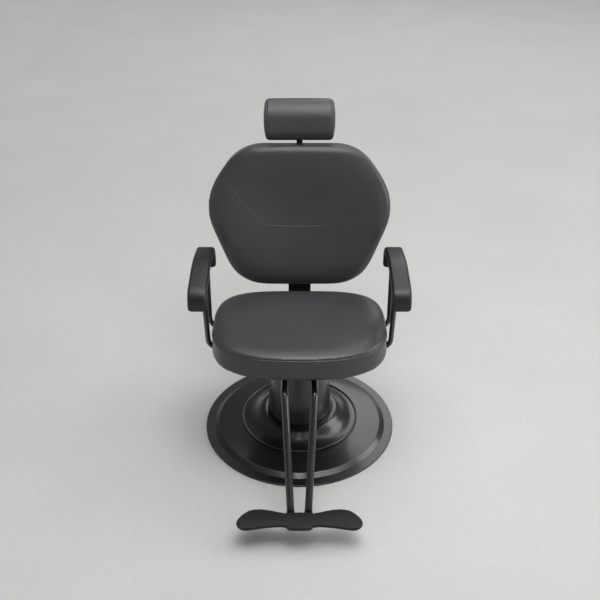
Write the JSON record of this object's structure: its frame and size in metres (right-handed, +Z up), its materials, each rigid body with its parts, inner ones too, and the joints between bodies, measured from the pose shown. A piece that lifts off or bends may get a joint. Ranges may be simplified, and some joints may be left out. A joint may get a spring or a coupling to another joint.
{
  "type": "hairdressing chair",
  "caption": "Hydraulic salon chair on a round base with a padded seat, reclining back, adjustable headrest, arm loops and a footrest.",
  "frame": {"origin": "on the floor, at the centre of the round base, on the swivel axis", "axes": "+Z up the column, -Y the way the sitter faces, +X to the sitter's left"},
  "size_m": [0.658, 0.9793, 1.0506],
  "materials": {
    "coated_steel": "satin black powder coat",
    "steel": "plain",
    "polished_steel": "polished",
    "upholstery": "dark grey leatherette over foam",
    "moulded_foam": "satin moulded foam",
    "plywood": "black stain",
    "plastic": "fine grain",
    "rubber": "matte",
    "aluminium": "black coated casting",
    "bronze": "sintered"
  },
  "bodies": {
    "base": {"base_plate": "coated_steel", "base_cover": "coated_steel", "dome_cover": "coated_steel", "column_cover": "coated_steel", "column_cap": "plastic", "pump_cylinder": "steel", "pump_gland": "steel", "wiper_seal": "rubber", "pump_block": "steel", "pedal_pin": "steel", "pedal_spring": "polished_steel"},
    "pedal": {"pedal_lever": "coated_steel", "pedal_pad": "rubber"},
    "plunger": {"pump_plunger": "polished_steel"},
    "ram": {"ram": "polished_steel", "thrust_bearing": "bronze"},
    "seat": {"swivel_hub": "coated_steel", "seat_bracket": "coated_steel", "seat_board": "plywood", "seat_cushion": "upholstery", "board_bolt_1": "steel", "board_bolt_2": "steel", "board_bolt_3": "steel", "board_bolt_4": "steel", "arm_plate_left": "coated_steel", "arm_plate_right": "coated_steel", "arm_frame_left": "coated_steel", "arm_frame_right": "coated_steel", "arm_pad_left": "moulded_foam", "arm_pad_right": "moulded_foam", "foot_block": "coated_steel", "foot_tube_left": "coated_steel", "foot_tube_right": "coated_steel", "foot_plate": "aluminium", "foot_bolt_left": "steel", "foot_bolt_right": "steel", "hinge_arm_left": "coated_steel", "hinge_arm_right": "coated_steel", "hinge_pin": "steel", "valve_block": "aluminium", "gas_cylinder": "coated_steel", "lever_guide": "coated_steel"},
    "gas_rod": {"gas_rod": "polished_steel"},
    "release_lever": {"release_lever": "coated_steel"},
    "backrest": {"spine_bar": "coated_steel", "lever_pin": "steel", "spine_bolt_lower": "steel", "spine_bolt_upper": "steel", "back_cover": "upholstery", "back_board": "plywood", "back_cushion": "upholstery", "headrest_sleeve": "coated_steel"},
    "knob": {"headrest_knob": "plastic"},
    "headrest_post": {"headrest_post": "coated_steel"},
    "headrest": {"headrest_cushion": "upholstery", "headrest_board": "plywood", "headrest_bracket": "coated_steel", "headrest_pin": "steel"}
  },
  "joints": [
    {"name": "pedal_pivot", "type": "hinge", "parent": "base", "child": "pedal", "pos_m": [0, 0.0498, 0.1016], "axis": [-1, 0, 0], "range_deg": [0, 14], "stiffness_Nm_per_rad": 10, "springref_deg": -17.19, "deforming": ["pedal_spring"]},
    {"name": "plunger_slide", "type": "slide", "parent": "base", "child": "plunger", "axis": [0, 0, -1], "range_m": [0, 0.0073]},
    {"name": "seat_lift", "type": "slide", "parent": "base", "child": "ram", "axis": [0, 0, 1], "range_m": [0, 0.14]},
    {"name": "seat_swivel", "type": "hinge", "parent": "ram", "child": "seat", "pos_m": [0, 0, 0.352], "axis": [0, 0, 1], "continuous": true},
    {"name": "back_recline", "type": "hinge", "parent": "seat", "child": "backrest", "pos_m": [0, 0.246, 0.36], "axis": [-1, 0, 0], "range_deg": [0, 35]},
    {"name": "gas_rod_slide", "type": "slide", "parent": "seat", "child": "gas_rod", "axis": [0, -1, 0], "range_m": [0, 0.0275]},
    {"name": "release_pivot", "type": "hinge", "parent": "seat", "child": "release_lever", "pos_m": [0, 0.09, 0.3323], "axis": [1, 0, 0], "range_deg": [0, 20], "stiffness_Nm_per_rad": 0.5, "springref_deg": -11.46},
    {"name": "headrest_lift", "type": "slide", "parent": "backrest", "child": "headrest_post", "axis": [0, 0.225, 0.9744], "range_m": [0, 0.1]},
    {"name": "knob_turn", "type": "hinge", "parent": "backrest", "child": "knob", "pos_m": [0, 0.36769, 0.79374], "axis": [0, 0.9744, -0.225], "range_deg": [0, 270]},
    {"name": "headrest_tilt", "type": "hinge", "parent": "headrest_post", "child": "headrest", "pos_m": [0, 0.39461, 0.9659], "axis": [-1, 0, 0], "range_deg": [-5, 30]}
  ],
  "couplings": [
    {"joint": "plunger_slide", "follows": "pedal_pivot", "m_per_rad": 0.0295},
    {"joint": "gas_rod_slide", "follows": "back_recline", "m_per_rad": 0.0443}
  ]
}
